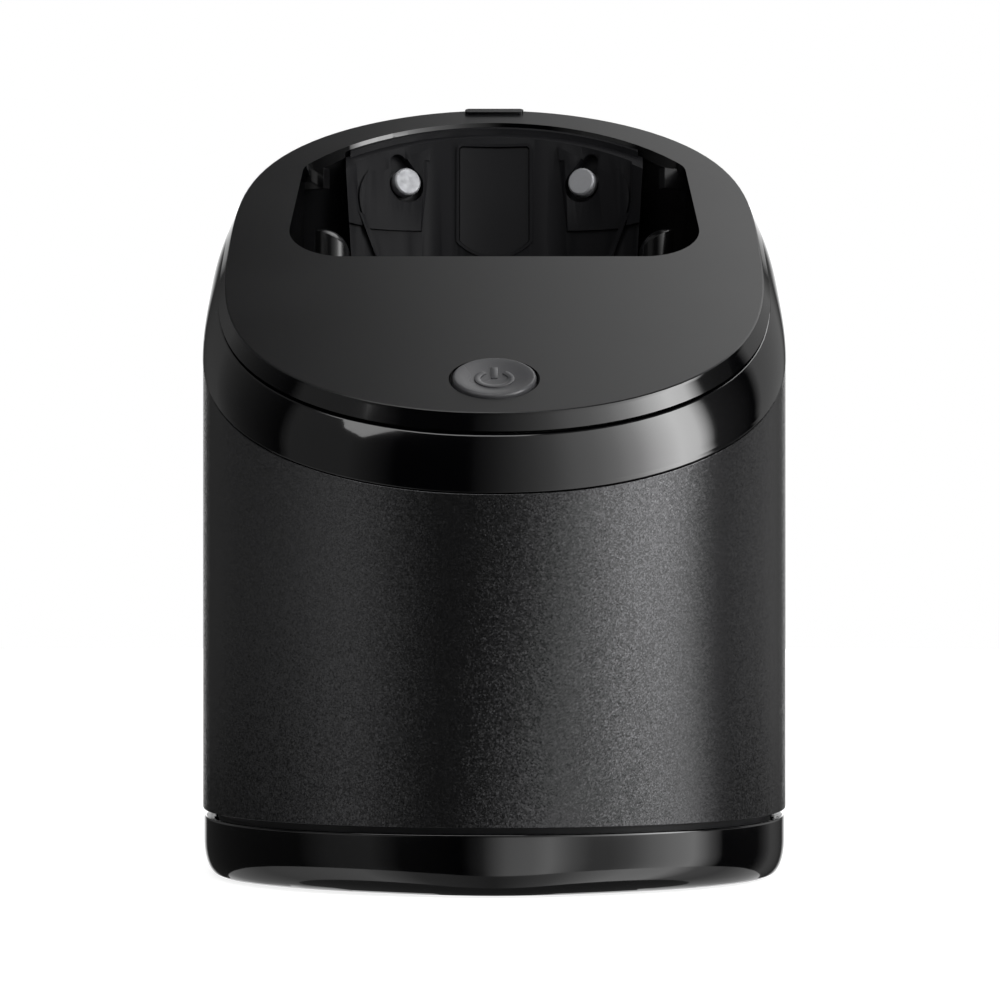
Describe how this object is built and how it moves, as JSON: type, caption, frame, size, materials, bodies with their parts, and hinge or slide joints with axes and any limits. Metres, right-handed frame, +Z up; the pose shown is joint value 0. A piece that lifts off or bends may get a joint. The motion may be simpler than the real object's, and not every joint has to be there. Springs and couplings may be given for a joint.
{
  "type": "shaver cleaning station",
  "caption": "Tall oval cleaning and charging station for an electric shaver, with a slanted glossy collar, a D-shaped receptacle, a round start button and a lift-off base.",
  "frame": {"origin": "centre of the footprint, in the plane that the rubber feet stand on", "axes": "+Z up, -Y towards the front with the start button, +X to the right seen from the front"},
  "size_m": [0.1204, 0.1396, 0.1668],
  "materials": {
    "shell_paint": "satin anthracite paint with fine metal flake",
    "base_gloss": "gloss black moulding",
    "collar_gloss": "gloss black lacquer",
    "cap_satin": "satin dark grey, fine spark texture",
    "button_satin": "satin dark grey cap with a bright rim",
    "bowl_gloss": "gloss black moulding",
    "cradle_plastic": "fine matt black moulding",
    "inlay_gloss": "polished black inlay",
    "release_gloss": "gloss black moulding",
    "contact_nickel": "bright nickel plate",
    "socket_plastic": "matt black moulding",
    "inner_plastic": "plain dark moulding",
    "bush_plastic": "unfilled natural acetal",
    "cartridge_blue": "semi-matt dark blue moulding",
    "cartridge_lid": "semi-matt black moulding",
    "foot_rubber": "matt black rubber",
    "seal_rubber": "soft black rubber",
    "hose_rubber": "milky silicone rubber",
    "steel": "bright steel",
    "spring_steel": "drawn spring wire",
    "screw_steel": "zinc plate",
    "motor_can": "zinc plated can",
    "board": "green lacquered circuit board"
  },
  "bodies": {
    "base": {"base_ring": "base_gloss", "base_tray": "inner_plastic", "rubber_feet": "foot_rubber", "catch_bracket": "steel", "guide_post_left": "steel", "guide_post_right": "steel", "lift_spring_left": "spring_steel", "lift_spring_right": "spring_steel", "cartridge_tank": "cartridge_blue", "cartridge_lid": "cartridge_lid", "cartridge_filter": "inner_plastic", "base_screws": "screw_steel"},
    "housing": {"outer_shell": "shell_paint", "collar": "collar_gloss", "top_cap": "cap_satin", "inner_chassis": "inner_plastic", "guide_bush_left": "bush_plastic", "guide_bush_right": "bush_plastic", "wash_bowl": "bowl_gloss", "bowl_seal": "seal_rubber", "cradle": "cradle_plastic", "inlay_plate": "inlay_gloss", "contact_barrel_left": "inner_plastic", "contact_barrel_right": "inner_plastic", "contact_board": "board", "main_board": "board", "start_board": "board", "start_switch": "inner_plastic", "pump_motor": "motor_can", "motor_sleeve": "seal_rubber", "pump_housing": "inner_plastic", "suction_tube": "inner_plastic", "delivery_tube": "hose_rubber", "drain_spout": "inner_plastic", "power_socket": "socket_plastic", "socket_pins": "contact_nickel", "release_springs": "spring_steel", "chassis_screws": "screw_steel", "board_screws": "screw_steel"},
    "start_button": {"start_button": "button_satin"},
    "release": {"release_button": "release_gloss", "latch_slider": "inner_plastic"},
    "contact_left": {"contact_pin_left": "contact_nickel"},
    "contact_right": {"contact_pin_right": "contact_nickel"},
    "pump_rotor": {"pump_shaft": "steel", "pump_impeller": "bush_plastic"}
  },
  "joints": [
    {"name": "housing_lift", "type": "slide", "parent": "base", "child": "housing", "axis": [0, 0, 1], "range_m": [0, 0.045], "deforming": ["lift_spring_left", "lift_spring_right"]},
    {"name": "start_button_press", "type": "slide", "parent": "housing", "child": "start_button", "axis": [0, 0.4909, -0.8712], "range_m": [0, 0.0008], "stiffness_N_per_m": 1500, "springref_m": -0.0006},
    {"name": "release_button_press", "type": "slide", "parent": "housing", "child": "release", "axis": [0, -1, 0], "range_m": [0, 0.0025], "stiffness_N_per_m": 1200, "springref_m": -0.001},
    {"name": "contact_left_press", "type": "slide", "parent": "housing", "child": "contact_left", "axis": [-0.4, 0.8965, -0.1906], "range_m": [0, 0.0012], "stiffness_N_per_m": 800, "springref_m": -0.001},
    {"name": "contact_right_press", "type": "slide", "parent": "housing", "child": "contact_right", "axis": [0.4, 0.8965, -0.1906], "range_m": [0, 0.0012], "stiffness_N_per_m": 800, "springref_m": -0.001},
    {"name": "pump_spin", "type": "hinge", "parent": "housing", "child": "pump_rotor", "pos_m": [-0.027, -0.033, 0.07], "axis": [0, 0, 1], "continuous": true}
  ]
}
